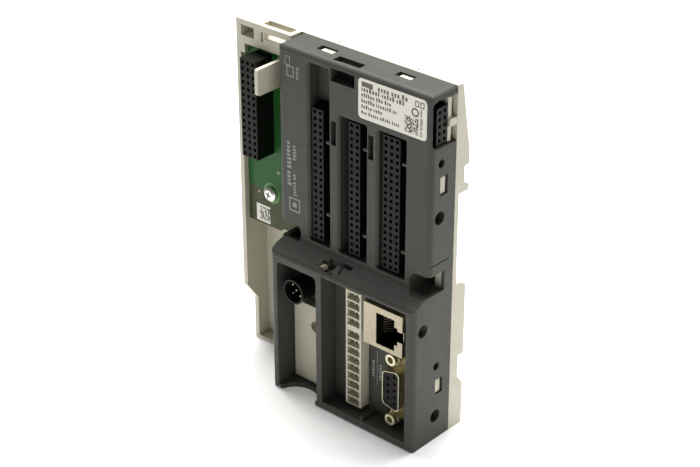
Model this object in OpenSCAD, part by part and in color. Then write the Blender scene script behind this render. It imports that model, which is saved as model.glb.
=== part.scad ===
// Base of a modular controller: a cream rail housing with an open tray on the left, a dark cover
// with three module sockets, and a lower box with round plug, terminal header, network jack and
// 9-pole D port. +X is the right side, the front faces -Y, and the base stands on its bottom edge.

/* [Overall size] */
// Width of the whole base
body_w = 96; // [95.5:0.5:97]
// Height of the whole base
body_h = 135; // [134:0.5:137]
// Depth from the front of the lower box to the back
body_d = 28; // [27.5:0.5:29]

/* [Cover] */
// Width of the dark cover
cover_w = 69.1; // [68.9:0.1:69.4]
// Width of the lower box
box_w = 67.3; // [67:0.1:67.6]
// Height of the lower box at its front edge
box_h = 58.3; // [57.5:0.1:59]
// How far the upper front is set back from the lower box
step_d = 7.8; // [7:0.1:8.5]
// Wall thickness of the cover
cover_wall = 2; // [1.6:0.1:2.2]

/* [Housing] */
// Depth of the housing behind the split with the cover
housing_d = 7.4; // [7:0.1:8]
// Wall thickness of the tray
tray_wall = 2; // [1.8:0.1:2.2]
// Height of the rail that the recess takes
rail_h = 35; // [35:0.1:35.2]

/* [Board and sockets] */
// Thickness of the circuit board
board_t = 1.6; // [1.5:0.1:1.7]
// Contact pitch of the sockets
pitch = 2.54; // [2.5:0.01:2.54]
// Pole pitch of the terminal header
pole_pitch = 3.5; // [3.45:0.01:3.5]

/* [Rail latch] */
// Travel of the latch from locked to released
latch_travel = 3.2; // [2.5:0.1:3.4]

/* [Hidden] */
$fn = 48;
eps = 0.05;

// Colours
cream = [0.80, 0.79, 0.74];
dark_grey = [0.33, 0.34, 0.32];
near_black = [0.10, 0.10, 0.10];
board_green = [0.16, 0.38, 0.20];
gold = [0.80, 0.65, 0.30];
tin = [0.80, 0.77, 0.70];
steel = [0.70, 0.70, 0.70];
paper = [0.88, 0.87, 0.84];

// Main planes. Widths are measured inwards from the right side face, depths from the split
// between cover and housing.
back_y = body_d / 2;
front_y = -body_d / 2;
split_y = back_y - housing_d;
upper_y = front_y + step_d;
function inset(d) = body_w / 2 - d;
function ahead(d) = split_y - d;
function behind(d) = split_y + d;
roof_z = box_h + 3.7;
board_y = ahead(3.5);
board_back = board_y + board_t;
socket_h = 8.6;
socket_y = board_y - socket_h;
board_left = body_w - tray_wall - 0.2;
board_right = 4.6;
tray_front = 5.5;
corner_r = 2;

// Port box
bay_floor = 12.5;
bay_skin = 1.5;
port_bay = [3.4, 42.6, 3.5, 56];
plug_bay = [45.1, 64, 2, 54.4];
board_low = 54.7;

// Socket slots of the cover: inner edge, outer edge, bottom, top
slot_bottom = 63.2;
slot_top = 116.4;
left_slot = [44.9, 54.8, slot_bottom, 132];
middle_slot = [28, 40.9, slot_bottom, slot_top];
right_slot = [10.7, 23.4, slot_bottom, slot_top];
slot_chamfer = 0.85;
socket_rows = 20;
left_socket = [51.1, 2];
middle_socket = [34.3, 2];
right_socket = [17.8, 3];
coupler_rows = 15;
coupler_socket_at = 84.2;
coupler_mid_z = 104.9;

// Screws of the board: distance from the right side, height
board_screw_at = [[82.2, 68.8], [60.3, 122], [38.6, 12], [20, 57.3]];
screw_r = 1.25;

// Rail recess and latch
rail_gap = 0.2;
recess_d = 2.1;
recess_low = 59.3;
recess_high = recess_low + rail_h + rail_gap;
latch_at = 30;
latch_half = 5.7;
neck_half = 4.3;
latch_low = 4.5;
post_low = 28.4;
post_high = 30;
spring_top = 45;

// Round plug, D port, network jack, terminal header
plug_at = [57.2, 43.5];
plug_r = 4.8;
plug_pin_r = 0.34;
dsub_at = [12.85, 19.8];
dsub_spacing = 24.99;
dsub_front = 17.2;
jack = [7.6, 25.3, 35.1, 51.7];
jack_front = 17.4;
jack_mouth = [11.2, 19.5, 36.8, 49.2];
header = [27.1, 34.3, 5.3, 55.8];
header_front = 16.6;
header_gap = 1.5;
low_poles = 9;
high_poles = 5;
panel_hole_at = [53.1, 27];
panel_hole_r = 2.25;

// Round holes in the right side: distance ahead of the split, height, radius, depth
side_holes = [
    [7.7, 109.6, 1.6, 5], [8, 89.4, 2.5, 6], [15.6, 48.5, 2.5, port_bay[0]],
    [7.8, 30.7, 1.6, 5], [7.8, 9.9, 2.5, 6]
];
// Windows for the snap arms: heights in the right side; distances and depths in the top. The catch
// in the roof pocket is given by its distances.
side_snaps = [[97.5, 104.7], [18.8, 25]];
catch_d = [43.1, 44.7];
top_snaps = [[48.2, 55.6, 7.7, 4.2], [14.4, 21.4, 6.9, 3.7]];

// Points on an arc
function arc(c, r, a0, a1, n = 6) =
    [for (i = [0 : n]) c + r * [cos(a0 + (a1 - a0) * i / n), sin(a0 + (a1 - a0) * i / n)]];

// Outline of a rectangle with round corners
module rounded_outline(x0, x1, z0, z1, r) {
    polygon(concat(
        arc([x1 - r, z0 + r], r, -90, 0), arc([x1 - r, z1 - r], r, 0, 90),
        arc([x0 + r, z1 - r], r, 90, 180), arc([x0 + r, z0 + r], r, 180, 270)));
}

// A block given by its distances from the right side, its depth range and its height range
module block(d0, d1, y0, y1, z0, z1) {
    translate([inset(d1), y0, z0]) cube([d1 - d0, y1 - y0, z1 - z0]);
}

// An outline drawn as seen from the front, with x as in the model, from depth y0 to y1
module front_prism(y0, y1) {
    translate([0, y1, 0]) rotate([90, 0, 0]) linear_extrude(y1 - y0) children();
}

// An outline drawn in depth and height, from distance d0 to d1
module side_prism(d0, d1) {
    translate([inset(d1), 0, 0]) rotate([90, 0, 90]) linear_extrude(d1 - d0) children();
}

// A round bar along Y
module bar_y(d, z, r, y0, y1, fn = 48) {
    translate([inset(d), y1, z]) rotate([90, 0, 0]) cylinder(h = y1 - y0, r = r, $fn = fn);
}

// A round bar along X, from the right side inwards
module bar_x(y, z, r, d0, d1) {
    translate([inset(d1), y, z]) rotate([0, 90, 0]) cylinder(h = d1 - d0, r = r);
}

// ---------------------------------------------------------------- front cover

module upper_profile() {
    polygon(concat(
        [[split_y, box_h - 3], [upper_y, box_h - 3]],
        arc([upper_y + corner_r, body_h - corner_r], corner_r, 180, 90),
        [[split_y, body_h]]));
}

module lower_profile() {
    polygon(concat(
        [[split_y, 0]],
        arc([front_y + 1, 1], 1, 270, 180),
        arc([front_y + corner_r, box_h - corner_r], corner_r, 180, 110),
        [[upper_y - 1.2, roof_z - 0.7], [upper_y + 0.5, roof_z + 0.6], [split_y, roof_z + 0.6]]));
}

module plan_outline(w, y, r) {
    polygon(concat(
        [[inset(0), split_y], [inset(w), split_y]],
        arc([inset(w) + r, y + r], r, 180, 270),
        arc([inset(0) - r, y + r], r, 270, 360)));
}

// Front outline of the lower box, with its roof rounded down at the left end
module box_outline() {
    top = roof_z + 0.6;
    r = 4;
    polygon(concat(
        [[inset(0), 0], [inset(0), top]],
        arc([inset(box_w) + r, top - r], r, 90, 180),
        [[inset(box_w), 0]]));
}

// Front outline of the upper cover, with its two top corners rounded
module upper_outline() {
    r = 2.3;
    polygon(concat(
        [[inset(cover_w), 0], [inset(0), 0]],
        arc([inset(0) - r, body_h - r], r, 0, 90),
        arc([inset(cover_w) + r, body_h - r], r, 90, 180)));
}

module cover_shell() {
    intersection() {
        side_prism(0, cover_w) upper_profile();
        linear_extrude(body_h) plan_outline(cover_w, upper_y, corner_r);
        front_prism(upper_y, split_y) upper_outline();
    }
    intersection() {
        side_prism(0, box_w) lower_profile();
        linear_extrude(body_h) plan_outline(box_w, front_y, corner_r);
        front_prism(front_y, split_y) box_outline();
    }
}

module cover_hollows() {
    inner_y = upper_y + cover_wall;
    block(cover_wall, cover_w - cover_wall, inner_y, split_y + 1, roof_z - 4, body_h - cover_wall);
    block(cover_wall, port_bay[1], ahead(bay_floor - bay_skin), split_y + 1, cover_wall, roof_z - 3);
    block(plug_bay[0], plug_bay[1], front_y - 1, split_y + 1, plug_bay[2], plug_bay[3] - 3);
    front_prism(front_y - 1, split_y + 1)
        rounded_outline(inset(plug_bay[1]), inset(plug_bay[0]), plug_bay[2] + 10, plug_bay[3], 1.8);
    block(port_bay[0], port_bay[1], front_y - 1, ahead(bay_floor), port_bay[2], port_bay[3]);
    // room for the board where it passes the left wall, the divider and the roof
    block(box_w - 3.8, cover_w + 1, ahead(3.8), split_y + 1, board_low - 0.4, 126.3);
    block(port_bay[1] - 1, plug_bay[0] + 1, ahead(4.2), split_y + 1, 36.5, roof_z);
    block(port_bay[1] - 1, box_w - 3.5, ahead(3.8), split_y + 1, plug_bay[3] - 3.2, roof_z);
}

// Walls that stand around a slot, inside the cover
module slot_shroud(slot) {
    wall = 1;
    block(slot[0] - wall, slot[1] + wall, upper_y + 0.5, ahead(6.9), slot[2] - wall, slot[3] + wall);
}

// Slot through the front wall, with a chamfer along its left edge
module slot_hole(slot) {
    r = 0.9;
    left = inset(slot[1]);
    front_prism(upper_y - 1, split_y)
        rounded_outline(left, inset(slot[0]), slot[2], slot[3], r);
    translate([0, 0, slot[2] + r])
        linear_extrude(slot[3] - slot[2] - 2 * r)
            polygon([[left - 2 * slot_chamfer, upper_y - slot_chamfer],
                [left + eps, upper_y - slot_chamfer], [left + eps, upper_y + slot_chamfer]]);
}

// Small ribs on the right wall of each slot
module slot_ribs(slot, low, high) {
    for (z = [low, high])
        block(slot[0] - 0.5, slot[0] + 2.1, upper_y + 0.4, ahead(6.9), z - 0.45, z + 0.45);
}

// Walls round the catch opening, inside the cover
module catch_box() {
    block(33, 45.5, upper_y + 1, ahead(6.6), 127, body_h - 1);
}

module side_bosses() {
    for (h = side_holes)
        if (h[0] < bay_floor)
            bar_x(ahead(h[0]), h[1], h[2] + 1.4, 0.5, h[3]);
}

module cover_openings() {
    for (slot = [left_slot, middle_slot, right_slot])
        slot_hole(slot);
    // narrow catch openings beside the left and the middle slot
    block(42.1, 44.5, upper_y - 1, upper_y + 3, 104.2, 113.2);
    block(25.3, 27.6, upper_y - 1, upper_y + 3, 104.2, 113.2);
    // catch opening at the top of the front, and a shallow seat above it
    block(33.7, 44.5, upper_y - 1, upper_y + 1.8, 128, 132.8);
    block(33.7, 44.5, upper_y - 1, ahead(7.2), 128, 132.5);
    block(33.4, 45, ahead(11), ahead(7.3), body_h - 1.7, body_h + 1);
    for (w = top_snaps)
        block(w[0], w[1], ahead(w[2]), ahead(w[3]), body_h - 3, body_h + 1);
    // round notch at the lower left corner
    front_prism(upper_y - 1, ahead(3.8))
        rounded_outline(inset(cover_w + 6), inset(59), roof_z - 1.9, roof_z + 5.3, 3);
    roof_catch_opening();
    // cable notch in the floor of the plug bay
    translate([inset(54.4), ahead(22.4), -1]) cylinder(h = plug_bay[2] + 1.1, r = 8.7);
}

// Catch slot in the roof of the lower box, with a pocket in front of its left half. The housing's
// catch comes up in the left end of the pocket, through a passage under the roof.
module roof_catch_opening() {
    low = roof_z - 5;
    block(33.3, 42.9, ahead(16.0), ahead(14.3), low, roof_z + 1);
    translate([inset(33.3), ahead(15.15), low]) cylinder(h = 6, r = 0.85);
    block(38.3, port_bay[1] - 0.3, ahead(19.6), ahead(15.8), port_bay[3] - 1, roof_z + 1);
    block(port_bay[1] - 0.4, catch_d[1] + 0.2, ahead(19.2), ahead(15.8), low - 0.2, roof_z + 1);
    block(catch_d[1] + 0.1, catch_d[1] + 1.9, ahead(18.7), ahead(15.8), 53, roof_z - 3.4);
}

module port_cutouts() {
    y0 = ahead(bay_floor) - 1;
    y1 = ahead(bay_floor - bay_skin) + 1;
    block(header[0] - 0.3, header[1] + 0.3, y0, y1, header[2] - 0.3, header[3] + 0.2);
    block(jack[0] - 0.3, jack[1] + 0.3, y0, y1, jack[2] - 0.3, jack[3] + 0.3);
    block(dsub_at[0] - 7.4, dsub_at[0] + 5.1, y0, y1, dsub_at[1] - 15.8, dsub_at[1] + 15.6);
}

module side_openings() {
    for (h = side_holes)
        bar_x(ahead(h[0]), h[1], h[2], -1, h[3] + 1);
    for (s = side_snaps)
        block(-1, cover_wall + 1, ahead(8.1), ahead(4.1), s[0], s[1]);
    // opening for the bus socket, and its notch to the back edge
    side_prism(-1, cover_wall + 1)
        rounded_outline(ahead(12.1), ahead(4.2), 115.5, 132.9, 2);
    block(-1, cover_wall + 1, ahead(5.5), split_y + 1, 115.4, 132.3);
    // fine groove above the finger recess
    block(-1, 0.4, upper_y - 1, ahead(2.4), 71.8, 72.2);
    // room for the housing's post behind the side wall
    block(1.3, board_right - 0.1, ahead(4.6), split_y + 1, 58.2, 69.8);
    // finger recess across the front right corner
    translate([inset(5.2), ahead(4.6), 64.2]) rotate([90, 0, 0]) cylinder(h = 12, r = 3.8);
    block(-1, 5.2, ahead(16), ahead(4.6), 60.4, 68);
}

// The wall behind the finger recess, with a window to the edge of the board
module finger_pocket() {
    difference() {
        block(cover_wall - 0.5, 10.2, upper_y + 1, ahead(3.8), 59.4, 69);
        block(1.5, 7.6, ahead(5), ahead(3), 60.8, 67.6);
    }
}

module front_cover() {
    color(dark_grey) {
        difference() {
            union() {
                difference() {
                    cover_shell();
                    cover_hollows();
                }
                for (slot = [left_slot, middle_slot, right_slot])
                    slot_shroud(slot);
                catch_box();
                side_bosses();
                finger_pocket();
            }
            cover_openings();
            port_cutouts();
            side_openings();
        }
        // floor of the left slot above its socket
        block(left_slot[0] - 0.5, left_slot[1] + 0.5, ahead(7), ahead(6), slot_top, 130.9);
        slot_ribs(left_slot, 76, 104);
        slot_ribs(middle_slot, 73.6, 106.8);
        slot_ribs(right_slot, 73.6, 106.8);
        // rib beside the roof pocket, and the rib on the bay's bottom wall
        side_prism(36.1, 38.3) polygon([
            [ahead(19), roof_z - 4], [ahead(19), roof_z - 2.7], [ahead(16.4), roof_z - 1.4],
            [ahead(16.4), roof_z - 4]]);
        block(23.2, 24.4, front_y + 0.3, ahead(bay_floor), port_bay[2] - 1, port_bay[2] + 1.7);
    }
}

// ---------------------------------------------------------------- back housing

module back_profile() {
    polygon([
        [split_y, 0], [behind(housing_d), 0], [behind(housing_d), recess_low - 1.7],
        [behind(recess_d + 1.7), recess_low], [behind(recess_d), recess_low],
        [behind(recess_d), recess_high], [behind(housing_d - 0.2), recess_high],
        [behind(housing_d), recess_high + 0.7], [behind(housing_d), recess_high + 2],
        [behind(4.8), recess_high + 3.6], [behind(4.8), 104], [behind(7.2), 104.3],
        [behind(7.2), 109.2], [behind(4.6), 124.7], [behind(3), body_h - 1],
        [behind(2.5), body_h], [split_y, body_h]]);
}

module tray_rim_profile() {
    polygon([
        [behind(1), 0], [split_y, 0], [split_y, 18.5], [ahead(tray_front), 26.2],
        [ahead(tray_front), body_h], [behind(1), body_h]]);
}

// Hollow of the housing, from below the split to its floor
module housing_hollow(front, low, high, groove) {
    lower = groove
        ? [[behind(5.4), low], [behind(5.4), 15], [behind(2.4), 15.5], [behind(2.4), 31],
            [behind(5.4), 31.5]]
        : [[behind(5.4), low]];
    polygon(concat(
        [[ahead(front), low]], lower,
        [[behind(5.4), 55.5], [behind(0.1), 56.5], [behind(0.1), 96.5], [behind(2.8), 97],
            [behind(2.8), 106], [behind(5.1), 107.5], [behind(1.2), high],
            [ahead(front), high]]));
}

// Frame across the top of the tray, with its pockets
module tray_top_frame() {
    difference() {
        union() {
            block(cover_w + 0.3, body_w, ahead(tray_front), behind(1), 126.1, body_h);
            block(body_w - 4.1, body_w, ahead(tray_front), board_y - 0.1, 122.5, 126.2);
        }
        block(87.3, 93.6, ahead(tray_front + 1), ahead(1.2), 129, 133);
        // slot from the top, its window to the front, and the groove beside it
        block(71.4, 84.3, ahead(3.5), behind(0.5), 130.3, body_h + 1);
        block(72, 81.9, ahead(tray_front + 1), ahead(3.2), 130.3, 132.7);
        block(82.9, 83.8, ahead(tray_front + 1), ahead(4.6), 129, 132.6);
    }
}

// The raised plate behind the round plug, with its panel screw tube
module plug_platform() {
    difference() {
        block(45.5, 63.6, ahead(12), behind(5.6), plug_bay[2] + 0.4, 35.2);
        block(47, 62.1, ahead(10.5), behind(8), plug_bay[2] + 1.9, 33.7);
    }
    bar_y(panel_hole_at[0], panel_hole_at[1], panel_hole_r + 1.9, ahead(11.5), back_y);
}

// Snap arms that reach into the windows of the cover
module snap_arms() {
    for (w = top_snaps) {
        block(w[0] + 0.5, w[1] - 1.8, ahead(w[2] - 0.2), behind(1.4), 131.2, 132.6);
        block(w[0] + 0.5, w[1] - 1.8, ahead(w[2] - 0.3), ahead(w[3] + 1), 132.5, 134.7);
        block(w[0] + 0.5, w[1] - 1.8, behind(0.2), behind(1.4), 131.2, 133.5);
    }
    for (s = side_snaps) {
        block(2.5, 3.9, ahead(8.1), behind(2), s[0] + 0.4, s[1] - 0.6);
        block(0.6, 2.6, ahead(7.9), ahead(4.9), s[0] + 0.5, s[1] - 0.7);
        block(0.6, 3.9, behind(0.4), behind(2), s[0] + 0.4, s[1] - 0.6);
    }
    // catch that shows in the roof's pocket
    block(catch_d[0], catch_d[1], ahead(18.4), ahead(16.4), roof_z - 4.9, roof_z - 3.2);
    block(catch_d[0], catch_d[1] + 1.7, ahead(18.4), ahead(16.1), roof_z - 4.9, roof_z - 3.7);
    block(45.5, catch_d[1] + 1.7, ahead(17.4), ahead(16.1), 30, roof_z - 3.7);
    block(45.5, catch_d[1] + 1.7, ahead(17.4), ahead(11.5), 28, 34);
    // post behind the finger recess
    block(1.5, board_right - 0.3, ahead(4.3), behind(1), 58.5, 69.5);
}

// Tongue beside the bus socket, with the small bar across the notch
module bus_tongue() {
    block(1, 2.6, ahead(3.8), ahead(2), 115.7, 132);
    block(2.5, 3.7, ahead(3.8), behind(1), 115.7, 132);
    block(0.1, 2.6, ahead(3.8), behind(0.5), 121.4, 124);
}

// Depth at which a boss meets the floor: flat over the rail recess, deep below, sloping on top
function boss_depth(z) = z < recess_low - 4 ? 5.6 : z < 100 ? 0.5 : 3.4;

module board_bosses() {
    for (s = board_screw_at)
        bar_y(s[0], s[1], 3, board_back, behind(boss_depth(s[1])));
}

module latch_channel() {
    block(latch_at - latch_half - 0.3, latch_at + latch_half + 0.3,
        behind(3.2), behind(5.5), -1, recess_low + 1);
    block(latch_at - neck_half - 0.3, latch_at + neck_half + 0.3,
        behind(5.4), behind(8.5), -1, recess_low + 1);
}

module back_housing() {
    color(cream) {
        difference() {
            union() {
                difference() {
                    union() {
                        side_prism(0, body_w) back_profile();
                        side_prism(body_w - tray_wall, body_w) tray_rim_profile();
                    }
                    side_prism(cover_wall, plug_bay[1])
                        housing_hollow(1, cover_wall, body_h - cover_wall, true);
                    side_prism(box_w, body_w - tray_wall) housing_hollow(8, 1.6, 126.1, false);
                    // the floor runs level under the cover's left wall
                    block(63, box_w + 1, ahead(1), behind(0.1), 57.5, 96);
                    // groove across the lower back
                    side_prism(-1, plug_bay[1] - 2) polygon([
                        [behind(9), 29.3], [behind(4.4), 29.3], [behind(4.4), 20.8],
                        [behind(housing_d), 16.8], [behind(9), 16.8]]);
                    // breaks in the top flange
                    block(47.7, 53.7, behind(1.2), behind(4), 133.6, body_h + 1);
                    block(13.3, 18.6, behind(1.2), behind(4), 133.6, body_h + 1);
                }
                block(latch_at - 8, latch_at + 8, behind(1.4), back_y, 0, 57);
                tray_top_frame();
                plug_platform();
                snap_arms();
                bus_tongue();
                board_bosses();
                // ledge under the left edge of the board
                block(board_left - 0.9, board_left + 0.3, board_back, behind(0.5), 56.5, 125);
            }
            for (s = board_screw_at)
                bar_y(s[0], s[1], screw_r + 0.05, board_back - 1, board_back + 3.4);
            latch_channel();
            bar_y(panel_hole_at[0], panel_hole_at[1], panel_hole_r, front_y, back_y + 1);
            block(47, 62.1, behind(5.5), behind(9), plug_bay[2] + 1.9, panel_hole_at[1] - 5);
        }
        // seat of the latch spring
        block(latch_at - 2, latch_at + 2, behind(3), behind(6.6), post_low, post_high);
        // fixed hooks that hold the rail's upper edge
        for (d = [20, 75])
            block(d - 5, d + 5, behind(3.5), behind(5.8), recess_high - 1.7, recess_high + 0.5);
    }
}

// ---------------------------------------------------------------- rail latch

module rail_latch() {
    color([0.25, 0.26, 0.26])
        difference() {
            union() {
                block(latch_at - latch_half, latch_at + latch_half, behind(3.5), behind(5.2),
                    latch_low, recess_low);
                side_prism(latch_at - neck_half, latch_at + neck_half) polygon([
                    [behind(3.5), latch_low], [behind(7.1), latch_low],
                    [behind(7.1), recess_low - 0.2], [behind(5.3), recess_low + 1.6],
                    [behind(3.5), recess_low + 1.6]]);
            }
            block(latch_at - 2.4, latch_at + 2.4, behind(3), behind(8), post_low - 0.2, spring_top);
            block(latch_at - 3, latch_at + 3, behind(3), behind(8), latch_low + 2.5, latch_low + 5.5);
        }
}

// Compression spring: rings of points carried along a helix
module latch_spring() {
    turns = 7;
    steps = 16;
    sides = 8;
    wire = 0.3;
    coil = 1.5;
    length = spring_top - post_high - 2 * wire;
    rings = turns * steps;
    function ring_point(i, j) =
        let (a = 360 * i / steps, b = 360 * j / sides, r = coil + wire * cos(b))
        [r * cos(a), r * sin(a), wire + length * i / rings + wire * sin(b)];
    points = [for (i = [0 : rings]) for (j = [0 : sides - 1]) ring_point(i, j)];
    walls = [for (i = [0 : rings - 1]) for (j = [0 : sides - 1])
        let (a = i * sides + j, b = i * sides + (j + 1) % sides)
        [a, b, b + sides, a + sides]];
    first = [for (j = [sides - 1 : -1 : 0]) j];
    last = [for (j = [0 : sides - 1]) rings * sides + j];
    color(steel)
        translate([inset(latch_at), behind(5.15), post_high])
            polyhedron(points, concat(walls, [first, last]), convexity = 10);
}

// ---------------------------------------------------------------- board

module board_outline() {
    polygon([
        [inset(board_left), board_low], [inset(78), board_low], [inset(77), 56],
        [inset(63.6), 56], [inset(63.6), 37.2], [inset(port_bay[1] - 0.2), 37.2],
        [inset(port_bay[1] - 0.2), 2.5],
        [inset(board_right), 2.5], [inset(board_right), 130], [inset(65.2), 130],
        [inset(65.2), 125.8], [inset(board_left), 125.8]]);
}

module main_board() {
    color(board_green)
        difference() {
            front_prism(board_y, board_back) board_outline();
            for (s = board_screw_at)
                bar_y(s[0], s[1], screw_r + 0.25, board_y - 1, board_back + 1);
        }
}

// Pan head screw with a cross recess
module board_screw(d, z) {
    head_r = 2.75;
    head_h = 1.9;
    difference() {
        union() {
            bar_y(d, z, head_r, board_y - head_h + 0.7, board_y);
            translate([inset(d), board_y - head_h + 0.7, z]) rotate([90, 0, 0])
                cylinder(h = 0.7, r1 = head_r, r2 = head_r - 0.9);
            bar_y(d, z, screw_r, board_y - 0.2, board_back + 3);
        }
        for (a = [20, 110])
            translate([inset(d), board_y - head_h, z]) rotate([0, a, 0])
                cube([3, 2, 0.7], center = true);
    }
}

module board_screws() {
    color(steel)
        for (s = board_screw_at)
            board_screw(s[0], s[1]);
}

// Parts soldered to the board, under the cover
module board_parts() {
    color(near_black) {
        block(56.5, 64.5, board_y - 2.2, board_y, 80, 96);
        block(57.5, 62.5, board_y - 1.6, board_y, 100, 106);
        block(24.5, 26.3, board_y - 1.2, board_y, 80, 90);
        block(35.5, 41.5, board_y - 3, board_y, 20, 34);
        block(36, 41, board_y - 2, board_y, 38, 44);
    }
    color(steel)
        for (z = [49, 53])
            bar_y(38.5, z, 1.6, board_y - 3, board_y);
}

module board_label() {
    color(paper) block(83.1, 90, board_y - 0.12, board_y, 55.6, 62.6);
}

module rating_label() {
    color(paper)
        front_prism(upper_y - 0.15, upper_y)
            rounded_outline(inset(31.9), inset(2.4), 118.5, 133, 1.5);
}

module guide_blade() {
    color(cream) {
        side_prism(74.3, 75.9) polygon(concat(
            [[board_y, 124.5], [board_y, 114.6]],
            arc([ahead(17.3) + 1, 115.6], 1, 270, 180), arc([ahead(17.3) + 1, 123.5], 1, 180, 90)));
        block(73.3, 76.9, board_y - 1, board_y, 114.6, 124.5);
    }
}

// ---------------------------------------------------------------- sockets and contacts

hole_w = 1.25;
hole_d = 6.5;

// Grid positions, counted from the centre
function grid(n, step) = [for (i = [0 : n - 1]) (i - (n - 1) / 2) * step];

// Socket block centred on distance d and height z, opening towards -Y
module pin_socket(d, z, columns, rows) {
    half_w = columns * pitch / 2;
    half_h = rows * pitch / 2;
    front_prism(socket_y, socket_y + hole_d)
        difference() {
            translate([inset(d) - half_w, z - half_h]) square([2 * half_w, 2 * half_h]);
            for (x = grid(columns, pitch), h = grid(rows, pitch))
                translate([inset(d) + x, z + h]) square(hole_w, center = true);
        }
    block(d - half_w, d + half_w, socket_y + hole_d - eps, board_y, z - half_h, z + half_h);
}

// One forked contact with its tail through the board, for every hole
module socket_contacts(d, z, columns, rows) {
    tail = 0.6;
    blade = 0.2;
    color(gold)
        for (x = grid(columns, pitch), h = grid(rows, pitch)) {
            for (side = [-1, 1])
                translate([inset(d) + x + side * 0.4 - blade / 2, socket_y + 1.2, z + h - 0.4])
                    cube([blade, hole_d - 1.2 - eps, 0.8]);
            translate([inset(d) + x - tail / 2, board_back, z + h - tail / 2])
                cube([tail, 1, tail]);
        }
}

socket_mid_z = (slot_bottom + slot_top) / 2;

// Right angle socket in the right side face, opening towards +X
bus_at = [6.75, 122.7];
bus_rows = 5;
bus_face = 1;
bus_back = 9.5;

module bus_socket() {
    color(near_black) {
        side_prism(bus_face, bus_back - 2)
            difference() {
                translate([ahead(bus_at[0]) - pitch - 0.3, bus_at[1] - bus_rows * pitch / 2 - 0.4])
                    square([2 * pitch + 0.6, bus_rows * pitch + 0.8]);
                for (y = grid(2, pitch), h = grid(bus_rows, pitch))
                    translate([ahead(bus_at[0]) + y, bus_at[1] + h]) square(hole_w, center = true);
            }
        block(bus_back - 2 - eps, bus_back, ahead(bus_at[0] + pitch + 0.3), board_y,
            bus_at[1] - bus_rows * pitch / 2 - 0.4, bus_at[1] + bus_rows * pitch / 2 + 0.4);
    }
}

module bus_contacts() {
    color(gold)
        for (y = grid(2, pitch), h = grid(bus_rows, pitch), side = [-1, 1])
            block(bus_face + 1.2, bus_back - 2, ahead(bus_at[0]) + y + side * 0.4 - 0.1,
                ahead(bus_at[0]) + y + side * 0.4 + 0.1, bus_at[1] + h - 0.4, bus_at[1] + h + 0.4);
}

// ---------------------------------------------------------------- terminal header

// Heights of the poles, lower group first
pole_z = concat(
    [for (i = [0 : low_poles - 1]) header[2] + (i + 0.5) * pole_pitch],
    [for (i = [0 : high_poles - 1])
        header[2] + low_poles * pole_pitch + header_gap + (i + 0.5) * pole_pitch]);
header_top = header[2] + (low_poles + high_poles) * pole_pitch + header_gap;
cell_d = 7.2;
cell_w = 5.7;

module terminal_header() {
    y0 = ahead(header_front);
    color([0.76, 0.75, 0.68]) {
        front_prism(y0, y0 + cell_d)
            difference() {
                translate([inset(header[1]), header[2]])
                    square([header[1] - header[0], header_top - header[2]]);
                for (z = pole_z)
                    translate([inset(header[1]) + 0.7, z - 1.45]) square([cell_w, 2.9]);
            }
        block(header[0], header[1], y0 + cell_d - eps, board_y, header[2], header_top);
        // key rib in the upper right corner of every cell
        for (z = pole_z)
            block(header[1] - 0.7 - cell_w, header[1] + 0.6 - cell_w, y0 + 0.8, y0 + cell_d,
                z + 0.2, z + 1.5);
    }
}

module terminal_pins() {
    pin = 1;
    color(tin)
        for (z = pole_z) {
            block(header[1] - 3.6, header[1] - 3.6 + pin, ahead(header_front - 1.4),
                ahead(header_front) + cell_d - eps, z - pin / 2, z + pin / 2);
            block(header[1] - 3.6, header[1] - 3.6 + pin, board_back, board_back + 1.2,
                z - pin / 2, z + pin / 2);
        }
}

// ---------------------------------------------------------------- network jack

module jack_mouth_outline() {
    translate([inset(jack_mouth[1]), jack_mouth[2]])
        square([jack_mouth[1] - jack_mouth[0], jack_mouth[3] - jack_mouth[2]]);
    translate([inset(jack_mouth[0]) - 1, 39.3]) square([2.4, 7.1]);
    translate([inset(jack_mouth[0]) + 1, 41.2]) square([3.6, 4.1]);
}

module rj45_shield() {
    skin = 0.3;
    color(tin)
        difference() {
            block(jack[0], jack[1], ahead(jack_front), board_y, jack[2], jack[3]);
            block(jack[0] + skin, jack[1] - skin, ahead(jack_front) + skin, board_y + 1,
                jack[2] + skin, jack[3] - skin);
            front_prism(ahead(jack_front) - 1, ahead(jack_front) + 1) jack_mouth_outline();
        }
}

module rj45_insert() {
    gap = 0.4;
    color(near_black)
        difference() {
            block(jack[0] + gap, jack[1] - gap, ahead(jack_front) + gap, board_y,
                jack[2] + gap, jack[3] - gap);
            front_prism(ahead(jack_front) - 1, ahead(5.2)) jack_mouth_outline();
        }
}

module rj45_contacts() {
    step = 1.02;
    color(gold)
        for (h = grid(8, step))
            translate([inset(jack_mouth[1]) + 0.7, ahead(jack_front - 3.6), 43.4 + h - 0.2])
                rotate([0, 0, 60]) cube([3.5, 0.3, 0.4]);
}

// ---------------------------------------------------------------- 9-pole D port

// D outline: the long side faces the right, the sides lean in by ten degrees
module dsub_outline(half_long, half_w) {
    lean = tan(10) * 2 * half_w;
    r = 1.6;
    x0 = inset(dsub_at[0]) - half_w;
    x1 = inset(dsub_at[0]) + half_w;
    z = dsub_at[1];
    polygon(concat(
        arc([x0 + r, z + half_long - lean - r + 0.3], r, 180, 100),
        arc([x1 - r, z + half_long - r], r, 100, 0),
        arc([x1 - r, z - half_long + r], r, 0, -100),
        arc([x0 + r, z - half_long + lean + r - 0.3], r, -100, -180)));
}

module dsub_shell() {
    color(tin)
        difference() {
            front_prism(ahead(dsub_front), ahead(10.9)) dsub_outline(8, 3.8);
            front_prism(ahead(dsub_front) - 1, ahead(10)) dsub_outline(7.7, 3.5);
        }
}

// Row positions: four contacts on the short side, five on the long side
dsub_rows = [[-1.42, 4], [1.42, 5]];
dsub_pitch = 2.77;

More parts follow.
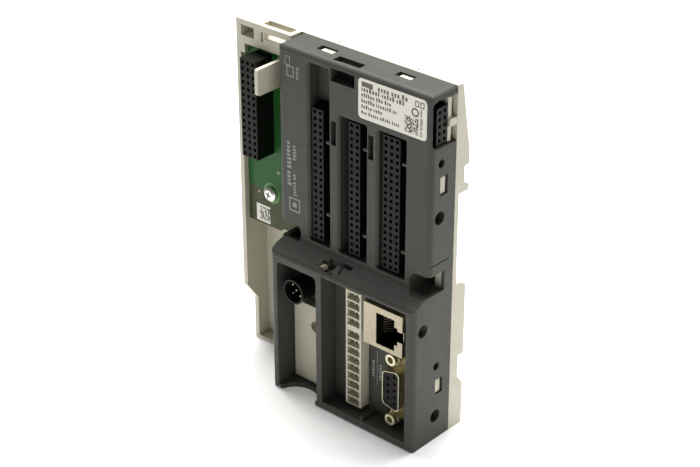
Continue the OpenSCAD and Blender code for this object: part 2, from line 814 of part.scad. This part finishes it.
module dsub_insulator() {
    color(near_black) {
        difference() {
            front_prism(ahead(dsub_front - 0.5), ahead(10.9)) dsub_outline(7.6, 3.4);
            for (row = dsub_rows, h = grid(row[1], dsub_pitch))
                bar_y(dsub_at[0] - row[0], dsub_at[1] + h, 0.62, front_y, ahead(11), 16);
        }
        front_prism(ahead(11), ahead(10.1)) dsub_outline(7, 2.9);
        block(dsub_at[0] - 4.9, dsub_at[0] + 4.9, ahead(10.2), board_y,
            dsub_at[1] - 8.6, dsub_at[1] + 8.6);
    }
}

module dsub_contacts() {
    color(gold)
        for (row = dsub_rows, h = grid(row[1], dsub_pitch)) {
            difference() {
                bar_y(dsub_at[0] - row[0], dsub_at[1] + h, 0.6, ahead(dsub_front - 1.4), ahead(11.1), 16);
                bar_y(dsub_at[0] - row[0], dsub_at[1] + h, 0.4, front_y, ahead(12), 16);
            }
            bar_y(dsub_at[0] - row[0], dsub_at[1] + h, 0.3, board_back, board_back + 1, 16);
        }
}

module dsub_flange() {
    color([0.62, 0.56, 0.36])
        difference() {
            block(dsub_at[0] - 6.2, dsub_at[0] + 6.2, ahead(10.9), ahead(10.2),
                dsub_at[1] - 15.4, dsub_at[1] + 14.2);
            front_prism(ahead(12), ahead(10)) dsub_outline(7.1, 3);
            for (side = [-1, 1])
                bar_y(dsub_at[0], dsub_at[1] + side * dsub_spacing / 2, 1.6, ahead(12), ahead(9));
        }
}

// Threaded standoffs: hexagon at the flange, round collar in front
module dsub_standoffs() {
    color(tin)
        for (side = [-1, 1])
            difference() {
                union() {
                    bar_y(dsub_at[0], dsub_at[1] + side * dsub_spacing / 2, 2.7,
                        ahead(15.4), ahead(10.95), 6);
                    bar_y(dsub_at[0], dsub_at[1] + side * dsub_spacing / 2, 2.25,
                        ahead(dsub_front + 0.2), ahead(15.3));
                    bar_y(dsub_at[0], dsub_at[1] + side * dsub_spacing / 2, 1.5,
                        ahead(11.5), ahead(8.5));
                }
                bar_y(dsub_at[0], dsub_at[1] + side * dsub_spacing / 2, 1.25,
                    ahead(dsub_front + 1), ahead(dsub_front - 3));
            }
}

// ---------------------------------------------------------------- round fieldbus plug

module fieldbus_shell() {
    color(near_black)
        difference() {
            bar_y(plug_at[0], plug_at[1], plug_r, ahead(19.4), ahead(9.5));
            bar_y(plug_at[0], plug_at[1], plug_r - 0.65, front_y - 1, ahead(10.7));
        }
}

module fieldbus_insert() {
    color(near_black)
        difference() {
            bar_y(plug_at[0], plug_at[1], plug_r - 0.7, ahead(13), ahead(10.7));
            for (a = [0 : 90 : 270])
                bar_y(plug_at[0] + 2.5 * cos(a + 45), plug_at[1] + 2.5 * sin(a + 45),
                    plug_pin_r + 0.05, ahead(14), ahead(9));
            bar_y(plug_at[0], plug_at[1], plug_pin_r + 0.05, ahead(14), ahead(9));
        }
}

module fieldbus_pins() {
    color(tin) {
        for (a = [0 : 90 : 270])
            bar_y(plug_at[0] + 2.5 * cos(a + 45), plug_at[1] + 2.5 * sin(a + 45), plug_pin_r,
                ahead(17.6), ahead(10.7), 24);
        bar_y(plug_at[0], plug_at[1], plug_pin_r, ahead(17.6), ahead(10.7), 24);
    }
}

module fieldbus_carrier() {
    color([0.22, 0.22, 0.21])
        difference() {
            block(47, 63.3, ahead(9.5), board_y, 37.6, 50.5);
            block(48, 51.2, ahead(10), ahead(7.5), 38.6, 49.5);
        }
}

// ---------------------------------------------------------------- the base

back_housing();
front_cover();
main_board();
board_screws();
board_parts();
board_label();
rating_label();
guide_blade();
color(near_black) pin_socket(coupler_socket_at, coupler_mid_z, 3, coupler_rows);  // coupler_socket
socket_contacts(coupler_socket_at, coupler_mid_z, 3, coupler_rows);  // coupler_contacts
color(near_black) pin_socket(left_socket[0], socket_mid_z, left_socket[1], socket_rows);  // cpu_socket_left
socket_contacts(left_socket[0], socket_mid_z, left_socket[1], socket_rows);  // cpu_contacts_left
color(near_black) pin_socket(middle_socket[0], socket_mid_z, middle_socket[1], socket_rows);  // cpu_socket_middle
socket_contacts(middle_socket[0], socket_mid_z, middle_socket[1], socket_rows);  // cpu_contacts_middle
color(near_black) pin_socket(right_socket[0], socket_mid_z, right_socket[1], socket_rows);  // cpu_socket_right
socket_contacts(right_socket[0], socket_mid_z, right_socket[1], socket_rows);  // cpu_contacts_right
bus_socket();
bus_contacts();
terminal_header();
terminal_pins();
rj45_shield();
rj45_insert();
rj45_contacts();
dsub_shell();
dsub_insulator();
dsub_contacts();
dsub_flange();
dsub_standoffs();
fieldbus_shell();
fieldbus_insert();
fieldbus_pins();
fieldbus_carrier();
rail_latch();
latch_spring();
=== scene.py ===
"""Looks of the controller base: materials, printed marks, light and camera around the CAD model."""
import math
import random

import bmesh
import bpy
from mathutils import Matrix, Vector


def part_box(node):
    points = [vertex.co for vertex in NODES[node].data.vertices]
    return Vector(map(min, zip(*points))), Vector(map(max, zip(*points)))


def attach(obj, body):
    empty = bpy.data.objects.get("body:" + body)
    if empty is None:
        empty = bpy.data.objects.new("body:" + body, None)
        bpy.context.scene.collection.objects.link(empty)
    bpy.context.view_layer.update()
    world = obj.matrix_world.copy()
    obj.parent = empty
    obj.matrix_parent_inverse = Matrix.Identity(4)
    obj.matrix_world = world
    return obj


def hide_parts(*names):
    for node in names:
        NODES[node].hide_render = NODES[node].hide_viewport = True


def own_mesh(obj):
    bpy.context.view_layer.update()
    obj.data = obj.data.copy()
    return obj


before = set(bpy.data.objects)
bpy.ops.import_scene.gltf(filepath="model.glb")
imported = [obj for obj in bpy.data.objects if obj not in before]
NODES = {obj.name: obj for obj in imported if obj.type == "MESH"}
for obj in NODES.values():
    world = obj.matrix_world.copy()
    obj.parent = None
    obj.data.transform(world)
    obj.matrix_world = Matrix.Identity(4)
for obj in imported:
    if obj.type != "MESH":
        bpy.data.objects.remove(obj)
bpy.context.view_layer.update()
MM = 0.001
BASE = "base"
INK_HEIGHT = 0.03 * MM
# the board screw that shows in the tray, and the height below which the board is bare laminate
SCREW_Z = 68.8 * MM
SCREW_RADIUS = 2.75 * MM
BARE_TOP = 69.5 * MM

# ---------------------------------------------------------------- node graph helpers


class Graph:
    """A material made of nodes, with one shader and object coordinates in metres."""

    def __init__(self, name):
        self.material = bpy.data.materials.new(name)
        self.material.use_nodes = True
        self.tree = self.material.node_tree
        self.tree.nodes.clear()
        self.shader = self.add("ShaderNodeBsdfPrincipled")
        output = self.add("ShaderNodeOutputMaterial")
        self.link(self.shader.outputs["BSDF"], output.inputs["Surface"])
        self.place = self.add("ShaderNodeTexCoord").outputs["Object"]

    def add(self, kind, **settings):
        node = self.tree.nodes.new(kind)
        for key, value in settings.items():
            setattr(node, key, value)
        return node

    def link(self, source, target):
        self.tree.links.new(source, target)

    def feed(self, node, name, value):
        """Sets a socket, or links it when the value comes from another node."""
        if isinstance(value, bpy.types.NodeSocket):
            self.link(value, node.inputs[name])
        else:
            node.inputs[name].default_value = value

    def noise(self, size, detail=4.0, rough=0.55, place=None):
        """Noise whose features are about `size` metres across."""
        node = self.add("ShaderNodeTexNoise")
        self.link(place or self.place, node.inputs["Vector"])
        node.inputs["Scale"].default_value = 1 / size
        node.inputs["Detail"].default_value = detail
        node.inputs["Roughness"].default_value = rough
        return node.outputs["Fac"]

    def stretched(self, scale):
        node = self.add("ShaderNodeMapping")
        self.link(self.place, node.inputs["Vector"])
        node.inputs["Scale"].default_value = scale
        return node.outputs["Vector"]

    def span(self, value, low, high, start=0.0, end=1.0):
        """Maps value from start..end to low..high, clamped."""
        node = self.add("ShaderNodeMapRange")
        self.link(value, node.inputs["Value"])
        limits = {"From Min": start, "From Max": end, "To Min": low, "To Max": high}
        for name, number in limits.items():
            node.inputs[name].default_value = number
        return node.outputs["Result"]

    def math(self, kind, a, b=0.0):
        node = self.add("ShaderNodeMath", operation=kind)
        for socket, value in zip(node.inputs, (a, b)):
            if isinstance(value, bpy.types.NodeSocket):
                self.link(value, socket)
            else:
                socket.default_value = value
        return node.outputs[0]

    def mix(self, factor, a, b):
        """Mixes two colours, or colour outputs, by factor."""
        node = self.add("ShaderNodeMix", data_type="RGBA")
        for socket, value in ((node.inputs[0], factor), (node.inputs[6], a), (node.inputs[7], b)):
            if isinstance(value, bpy.types.NodeSocket):
                self.link(value, socket)
            else:
                socket.default_value = value
        return node.outputs[2]

    def soft_edge(self, radius):
        node = self.add("ShaderNodeBevel", samples=6)
        node.inputs["Radius"].default_value = radius
        return node.outputs["Normal"]

    def edge_mask(self, rounded, start=0.02, end=0.25):
        """One on sharp edges, zero on flats, from how far the rounded normal turns away."""
        flat = self.add("ShaderNodeNewGeometry").outputs["True Normal"]
        dot = self.add("ShaderNodeVectorMath", operation="DOT_PRODUCT")
        self.link(rounded, dot.inputs[0])
        self.link(flat, dot.inputs[1])
        turned = self.math("SUBTRACT", 1.0, dot.outputs["Value"])
        return self.span(turned, 0.0, 1.0, start, end)

    def bump(self, height, strength, distance, normal=None):
        node = self.add("ShaderNodeBump")
        self.link(height, node.inputs["Height"])
        node.inputs["Strength"].default_value = strength
        node.inputs["Distance"].default_value = distance
        if normal is not None:
            self.link(normal, node.inputs["Normal"])
        self.link(node.outputs["Normal"], self.shader.inputs["Normal"])


def rgb(red, green, blue):
    """Linear colour from 0..255 display values."""
    def linear(value):
        value /= 255
        return value / 12.92 if value <= 0.04045 else ((value + 0.055) / 1.055) ** 2.4
    return (linear(red), linear(green), linear(blue), 1.0)


def shade(colour, factor):
    return tuple(channel * factor for channel in colour[:3]) + (1.0,)


# ---------------------------------------------------------------- materials


def plastic(name, colour, rough=0.5, grain=0.25 * MM, edge=0.25 * MM, edge_wear_and_highlight=1.35, dust=0.0,
            blotch=0.06, specular=0.4):
    """Moulded plastic: eroded grain, faint flow blotches, and edges painted lighter, partly as wear from
    handling and partly as a painted highlight.
    """
    g = Graph(name)
    rounded = g.soft_edge(edge)
    worn_and_lit_edges = g.edge_mask(rounded)
    blotches = g.span(g.noise(9 * MM, 5), 0.0, 1.0, 0.35, 0.65)
    body = g.mix(blotches, shade(colour, 1 - blotch), shade(colour, 1 + blotch))
    # sharp edges painted lighter: partly handling wear, partly a painted highlight where light catches
    # the edges
    patchy = g.math("MULTIPLY", worn_and_lit_edges, g.span(g.noise(2.5 * MM, 3), 0.25, 1.0, 0.35, 0.6))
    body = g.mix(patchy, body, shade(colour, edge_wear_and_highlight))
    if dust:
        specks = g.span(g.noise(0.5 * MM, 2), 0.0, dust, 0.66, 0.74)
        body = g.mix(specks, body, shade(colour, 1.5))
    g.link(body, g.shader.inputs["Base Color"])
    fine = g.noise(grain, 3)
    polish = g.span(g.noise(3 * MM, 4), rough - 0.07, rough + 0.07, 0.3, 0.7)
    g.link(polish, g.shader.inputs["Roughness"])
    g.bump(fine, 0.5, 0.02 * MM, rounded)
    g.shader.inputs["Specular IOR Level"].default_value = specular
    return g.material


def metal(name, colour, rough, brushed=(1, 1, 1), tarnish=0.25, metallic=1.0):
    """Plated metal: fine brushing along the small scale axis and darker tarnish patches."""
    g = Graph(name)
    rounded = g.soft_edge(0.12 * MM)
    lines = g.noise(0.6 * MM, 4, place=g.stretched(brushed))
    patches = g.span(g.noise(2.2 * MM, 5), 0.0, tarnish, 0.4, 0.7)
    g.link(g.mix(patches, colour, shade(colour, 0.45)), g.shader.inputs["Base Color"])
    g.shader.inputs["Metallic"].default_value = metallic
    g.link(g.span(lines, rough - 0.1, rough + 0.14, 0.3, 0.7), g.shader.inputs["Roughness"])
    g.bump(lines, 0.35, 0.01 * MM, rounded)
    return g.material


def board_laminate(name, colour, bare, bare_top):
    """Solder mask over glass weave and copper tracks. Below bare_top there is no mask or copper."""
    g = Graph(name)
    weave = g.noise(0.5 * MM, 2, place=g.stretched((1, 1, 4)))
    tracks = g.add("ShaderNodeTexBrick", offset=0.37, squash=1.0)
    turned = g.add("ShaderNodeMapping")
    turned.inputs["Rotation"].default_value = (math.radians(90), 0, 0)
    g.link(g.place, turned.inputs["Vector"])
    g.link(turned.outputs["Vector"], tracks.inputs["Vector"])
    tracks.inputs["Scale"].default_value = 110
    tracks.inputs["Mortar Size"].default_value = 0.02
    tracks.inputs["Mortar Smooth"].default_value = 0.3
    areas = g.span(g.noise(14 * MM, 2), 0.0, 0.8, 0.45, 0.6)
    copper = g.math("MULTIPLY", tracks.outputs["Fac"], areas)
    body = g.mix(g.span(weave, 0.0, 1.0, 0.3, 0.7), shade(colour, 0.86), shade(colour, 1.12))
    body = g.mix(copper, body, shade(colour, 1.35))
    height = g.add("ShaderNodeSeparateXYZ")
    g.link(g.place, height.inputs["Vector"])
    below = g.span(height.outputs["Z"], 1.0, 0.0, bare_top - 0.4 * MM, bare_top + 0.4 * MM)
    mottled = g.mix(g.span(g.noise(5 * MM, 4), 0.0, 1.0, 0.3, 0.7), bare, shade(bare, 0.8))
    body = g.mix(below, body, mottled)
    g.link(body, g.shader.inputs["Base Color"])
    g.link(g.span(g.noise(4 * MM, 3), 0.34, 0.48, 0.3, 0.7), g.shader.inputs["Roughness"])
    g.shader.inputs["Specular IOR Level"].default_value = 0.18
    relief = g.math("ADD", copper, g.math("MULTIPLY", weave, 0.15))
    g.bump(relief, 0.35, 0.03 * MM, g.soft_edge(0.1 * MM))
    return g.material


def paper(name, colour):
    """Printed film label: faint fibre and handling marks."""
    g = Graph(name)
    smudge = g.span(g.noise(6 * MM, 5), 0.0, 1.0, 0.35, 0.7)
    g.link(g.mix(smudge, colour, shade(colour, 0.93)), g.shader.inputs["Base Color"])
    polish = g.span(g.noise(2 * MM, 4), 0.47, 0.63, 0.3, 0.7)
    g.link(polish, g.shader.inputs["Roughness"])
    g.bump(g.noise(0.3 * MM, 3), 0.2, 0.01 * MM)
    return g.material


def ink(name, colour):
    """Pad-printed ink, a little uneven."""
    g = Graph(name)
    thin = g.span(g.noise(0.35 * MM, 3), 0.0, 0.15, 0.4, 0.7)
    g.link(g.mix(thin, colour, shade(colour, 0.6)), g.shader.inputs["Base Color"])
    g.link(g.span(g.noise(1 * MM, 2), 0.45, 0.6), g.shader.inputs["Roughness"])
    g.bump(g.noise(0.2 * MM, 2), 0.15, 0.005 * MM)
    return g.material


CREAM = rgb(204, 199, 180)
DARK = rgb(73, 74, 69)
SOCKET = rgb(15, 16, 12)

cream_plastic = plastic("cream_plastic", CREAM, 0.5, edge_wear_and_highlight=1.06, blotch=0.025, edge=0.3 * MM)
dark_plastic = plastic("dark_plastic", DARK, 0.52, dust=0.35, edge_wear_and_highlight=2.0, blotch=0.05,
                       edge=0.35 * MM, specular=0.22)
socket_plastic = plastic("socket_plastic", SOCKET, 0.42, grain=0.18 * MM, edge=0.1 * MM,
                         edge_wear_and_highlight=1.8, specular=0.15)
insert_plastic = plastic("insert_plastic", rgb(25, 26, 22), 0.4, grain=0.2 * MM, edge=0.1 * MM,
                         edge_wear_and_highlight=1.7, specular=0.15)
carrier_plastic = plastic("carrier_plastic", rgb(92, 92, 88), 0.5, edge=0.15 * MM, edge_wear_and_highlight=1.3)
header_plastic = plastic("header_plastic", rgb(212, 208, 188), 0.48, edge=0.12 * MM, edge_wear_and_highlight=1.05,
                         blotch=0.03)
latch_plastic = plastic("latch_plastic", rgb(70, 72, 70), 0.45, edge=0.2 * MM)
chip_plastic = plastic("chip_black", rgb(45, 45, 46), 0.5, edge=0.1 * MM)
board_green = board_laminate("board_laminate", rgb(37, 90, 38), rgb(70, 76, 44), BARE_TOP)
tin_plate = metal("tin_plate", rgb(170, 161, 140), 0.38, brushed=(1, 1, 6), tarnish=0.25)
pin_tin = metal("pin_tin", rgb(140, 132, 112), 0.45, tarnish=0.5)
nickel_plate = metal("nickel_plate", rgb(216, 209, 180), 0.34, brushed=(1, 1, 6), tarnish=0.2)
zinc_plate = metal("zinc_plate", rgb(222, 208, 162), 0.4, tarnish=0.15, metallic=0.25)
screw_steel = metal("screw_steel", rgb(232, 232, 230), 0.32, tarnish=0.12)
contact_gold = metal("contact_gold", rgb(222, 190, 110), 0.25, tarnish=0.15)
label_paper = paper("label_paper", rgb(240, 237, 225))
ink_white = ink("ink_white", rgb(138, 140, 135))
ink_grey = ink("ink_grey", rgb(146, 147, 142))
ink_black = ink("ink_black", rgb(92, 89, 83))
pad_green = ink("pad_green", rgb(84, 136, 72))

LOOKS = {
    cream_plastic: ["back_housing", "guide_blade"],
    dark_plastic: ["front_cover"],
    board_green: ["main_board"],
    screw_steel: ["board_screws", "latch_spring"],
    chip_plastic: ["board_parts"],
    label_paper: ["board_label", "rating_label"],
    socket_plastic: ["coupler_socket", "cpu_socket_left", "cpu_socket_middle", "cpu_socket_right",
                     "bus_socket"],
    contact_gold: ["coupler_contacts", "cpu_contacts_left", "cpu_contacts_middle",
                   "cpu_contacts_right", "bus_contacts", "dsub_contacts"],
    header_plastic: ["terminal_header"],
    pin_tin: ["terminal_pins", "rj45_contacts"],
    tin_plate: ["rj45_shield", "fieldbus_pins"],
    nickel_plate: ["dsub_shell", "dsub_standoffs"],
    zinc_plate: ["dsub_flange"],
    insert_plastic: ["rj45_insert", "dsub_insulator", "fieldbus_shell", "fieldbus_insert"],
    carrier_plastic: ["fieldbus_carrier"],
    latch_plastic: ["rail_latch"],
}
for look, names in LOOKS.items():
    for name in names:
        mesh = NODES[name].data
        mesh.materials.clear()
        mesh.materials.append(look)

# ---------------------------------------------------------------- latch spring


def pressed_spring():
    """Stands for the CAD spring: a copy of the same coil, attached to the base."""
    node = NODES["latch_spring"]
    coil = bpy.data.objects.new("latch_coil", node.data.copy())
    coil.matrix_world = node.matrix_world
    bpy.context.scene.collection.objects.link(coil)
    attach(coil, BASE)
    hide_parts("latch_spring")
    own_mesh(coil)


pressed_spring()

# ---------------------------------------------------------------- printed marks


class Print:
    """Thin ink slabs on a face that looks towards -Y. All marks are plain bars, frames and rings."""

    def __init__(self, face_y):
        self.mesh = bmesh.new()
        self.back = face_y
        self.front = face_y - INK_HEIGHT

    def bar(self, x0, x1, z0, z1):
        outline = ((x0, z0), (x1, z0), (x1, z1), (x0, z1))
        corners = [self.mesh.verts.new((x, y, z)) for y in (self.front, self.back) for x, z in outline]
        faces = [(0, 1, 2, 3), (7, 6, 5, 4), (0, 4, 5, 1), (1, 5, 6, 2), (2, 6, 7, 3), (3, 7, 4, 0)]
        for face in faces:
            self.mesh.faces.new([corners[i] for i in face])

    def outline(self, x0, x1, z0, z1, line):
        self.bar(x0, x1, z0, z0 + line)
        self.bar(x0, x1, z1 - line, z1)
        self.bar(x0, x0 + line, z0 + line, z1 - line)
        self.bar(x1 - line, x1, z0 + line, z1 - line)

    def words(self, start, end, base, height, seed, upright=False):
        """A row of bars in groups, as wide as a line of small print. Upright rows run along Z."""
        chance = random.Random(seed)
        place = start
        while place < end - height:
            for _ in range(chance.randint(3, 8)):
                width = height * chance.uniform(0.3, 0.55)
                tall = height * chance.choice((0.72, 0.72, 1.0))
                if place + width > end:
                    break
                if upright:
                    self.bar(base, base + tall, place, place + width)
                else:
                    self.bar(place, place + width, base, base + tall)
                place += width + height * 0.28
            place += height * 0.35

    def squares(self, x0, z0, side, count, seed):
        """A square patch of random filled cells."""
        chance = random.Random(seed)
        cell = side / count
        for row in range(count):
            for column in range(count):
                if chance.random() < 0.55:
                    x, z = x0 + column * cell, z0 + row * cell
                    self.bar(x, x + cell * 0.96, z, z + cell * 0.96)

    def ring(self, x, z, outer, inner, steps=32):
        turns = [2 * math.pi * i / steps for i in range(steps)]

        def loop(y, radius):
            places = [(x + radius * math.cos(turn), y, z + radius * math.sin(turn)) for turn in turns]
            return [self.mesh.verts.new(place) for place in places]

        section = ((self.front, inner), (self.front, outer), (self.back, outer), (self.back, inner))
        loops = [loop(y, radius) for y, radius in section]
        for a, b in zip(loops, loops[1:] + loops[:1]):
            for i in range(steps):
                j = (i + 1) % steps
                self.mesh.faces.new((a[i], b[i], b[j], a[j]))

    def piece(self, name, material, slot):
        bmesh.ops.recalc_face_normals(self.mesh, faces=self.mesh.faces)
        mesh = bpy.data.meshes.new(name)
        self.mesh.to_mesh(mesh)
        self.mesh.free()
        mesh.materials.append(material)
        made = bpy.data.objects.new(name, mesh)
        bpy.context.scene.collection.objects.link(made)
        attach(made, BASE)


def rating_print():
    low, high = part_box("rating_label")
    left, right, top, bottom = low[0], high[0], high[2], low[2]
    ink = Print(low[1])
    # plain bar where a maker would put its name, and a line of large print beside it
    ink.bar(left + 1.5 * MM, left + 6.4 * MM, top - 2.8 * MM, top - 1.0 * MM)
    ink.words(left + 8.6 * MM, left + 21.5 * MM, top - 2.6 * MM, 1.8 * MM, seed=1)
    # each line: how far its foot is below the top, where it ends, how tall it is
    lines = [(4.5, 20.2, 1.7), (6.5, 14.8, 1.4), (8.6, 17.4, 1.4), (10.7, 12, 1.4), (12.8, 17.9, 1.3)]
    for number, (drop, length, height) in enumerate(lines):
        end, base = left + length * MM, top - drop * MM
        ink.words(left + 1.4 * MM, end, base, height * MM, seed=10 + number)
    # two plain approval boxes, a ring, a code patch and a row of small print down the right edge
    for inset in (5.0 * MM, 2.8 * MM):
        start = right - inset
        ink.outline(start, start + 1.7 * MM, top - 3.2 * MM, top - 1.1 * MM, 0.35 * MM)
    ink.ring(right - 4.9 * MM, top - 5.4 * MM, 1.6 * MM, 1.0 * MM)
    ink.squares(right - 9.3 * MM, bottom + 1.2 * MM, 5.8 * MM, count=15, seed=30)
    ink.words(bottom + 1.2 * MM, top - 3.6 * MM, right - 2.7 * MM, 1.0 * MM, seed=31, upright=True)
    ink.piece("rating_print", ink_black, "label_paper")


def board_label_print():
    low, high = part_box("board_label")
    margin = 0.8 * MM
    ink = Print(low[1])
    side = high[2] - low[2] - 2 * margin
    ink.squares(low[0] + 1.6 * MM, low[2] + margin, side, count=14, seed=40)
    ink.piece("board_label_print", ink_black, "label_paper")


def cover_print():
    """Upright rows on the cover, left of the first slot."""
    low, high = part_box("front_cover")
    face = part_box("rating_label")[1][1]
    left, top = low[0], high[2]
    ink = Print(face)
    # two small outlines near the top, with a short row beside them
    ink.outline(left + 3.6 * MM, left + 6.0 * MM, top - 7 * MM, top - 3.6 * MM, 0.3 * MM)
    ink.outline(left + 4.3 * MM, left + 7.8 * MM, top - 11 * MM, top - 7 * MM, 0.45 * MM)
    ink.words(top - 11.2 * MM, top - 6 * MM, left + 8.8 * MM, 1.4 * MM, seed=50, upright=True)
    ink.words(top - 53 * MM, top - 35.3 * MM, left + 3.9 * MM, 2.0 * MM, seed=51, upright=True)
    ink.words(top - 56.5 * MM, top - 47.6 * MM, left + 6.7 * MM, 1.7 * MM, seed=52, upright=True)
    ink.words(top - 42.5 * MM, top - 36.4 * MM, left + 6.7 * MM, 1.7 * MM, seed=53, upright=True)
    # plain square with a filled centre at the foot of the rows
    ink.outline(left + 4.6 * MM, left + 9.8 * MM, top - 63 * MM, top - 57.6 * MM, 0.5 * MM)
    ink.bar(left + 6.3 * MM, left + 8.1 * MM, top - 61.2 * MM, top - 59.4 * MM)
    ink.piece("cover_print", ink_white, "dark_plastic")


def bay_print():
    """Upright rows of bars with a thin line between them, on the floor of the port bay."""
    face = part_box("dsub_flange")[0][1] - 1.6 * MM
    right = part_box("dsub_flange")[0][0]
    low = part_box("dsub_flange")[0][2]
    ink = Print(face)
    ink.words(low + 13.6 * MM, low + 21.4 * MM, right - 2.9 * MM, 1.7 * MM, seed=61, upright=True)
    ink.words(low + 13.8 * MM, low + 21 * MM, right - 6.3 * MM, 1.7 * MM, seed=62, upright=True)
    ink.bar(right - 4 * MM, right - 3.8 * MM, low + 11 * MM, low + 25.5 * MM)
    ink.piece("bay_print", ink_grey, "dark_plastic")


def board_marks():
    """Paler ring round the board screw, and two test pads, on the part of the board in the tray."""
    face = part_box("main_board")[0][1]
    screw_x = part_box("board_screws")[0][0] + SCREW_RADIUS
    pads = Print(face)
    pads.ring(screw_x, SCREW_Z, 4.1 * MM, 3.0 * MM)
    pads.piece("board_ring", pad_green, "board_laminate")
    dots = Print(face)
    for x, z in ((-6.4, -1.2), (3.6, 9.5)):
        dots.ring(screw_x + x * MM, SCREW_Z + z * MM, 0.5 * MM, 0.25 * MM, steps=16)
    dots.piece("board_pads", tin_plate, "tin_plate")


rating_print()
board_label_print()
cover_print()
bay_print()
board_marks()

# ---------------------------------------------------------------- floor, light, camera


def floor():
    mesh = bpy.data.meshes.new("floor")
    half = 3.0
    corners = [(-half, -half, 0), (half, -half, 0), (half, half, 0), (-half, half, 0)]
    mesh.from_pydata(corners, [], [(0, 1, 2, 3)])
    piece = bpy.data.objects.new("floor", mesh)
    bpy.context.scene.collection.objects.link(piece)
    g = Graph("floor")
    tone = g.mix(g.noise(80 * MM, 3), rgb(250, 250, 249), rgb(253, 253, 252))
    g.link(tone, g.shader.inputs["Base Color"])
    g.shader.inputs["Roughness"].default_value = 0.6
    g.shader.inputs["Emission Color"].default_value = rgb(255, 254, 252)
    g.shader.inputs["Emission Strength"].default_value = 0.2
    mesh.materials.append(g.material)


def area_light(name, place, aim, size, power):
    light = bpy.data.lights.new(name, "AREA")
    light.shape = "RECTANGLE"
    light.size, light.size_y = size
    light.energy = power
    lamp = bpy.data.objects.new(name, light)
    lamp.location = place
    lamp.rotation_euler = (Vector(aim) - Vector(place)).to_track_quat("-Z", "Y").to_euler()
    bpy.context.scene.collection.objects.link(lamp)


def studio():
    """Weak even surroundings, and one soft light above and a little behind the object."""
    world = bpy.data.worlds.new("studio")
    bpy.context.scene.world = world
    world.use_nodes = True
    background = world.node_tree.nodes["Background"]
    background.inputs["Color"].default_value = (1.0, 0.995, 0.98, 1.0)
    background.inputs["Strength"].default_value = 0.14
    bpy.context.scene.view_settings.view_transform = "Standard"
    area_light("top_softbox", place=(-0.15, 0.24, 0.9), aim=(0, 0, 0.07), size=(0.9, 0.45), power=21)


def camera():
    lens = 94.27
    sensor = 36.0
    yaw = math.radians(41.52)
    pitch = math.radians(28.59)
    data = bpy.data.cameras.new("camera")
    data.lens = lens
    data.sensor_width = sensor
    data.clip_start = 0.01
    data.clip_end = 10
    eye = bpy.data.objects.new("camera", data)
    eye.location = (0.3831, -0.4250, 0.3775)
    eye.rotation_euler = (math.radians(90) - pitch, 0, yaw)
    bpy.context.scene.collection.objects.link(eye)
    bpy.context.scene.camera = eye


floor()
studio()
camera()
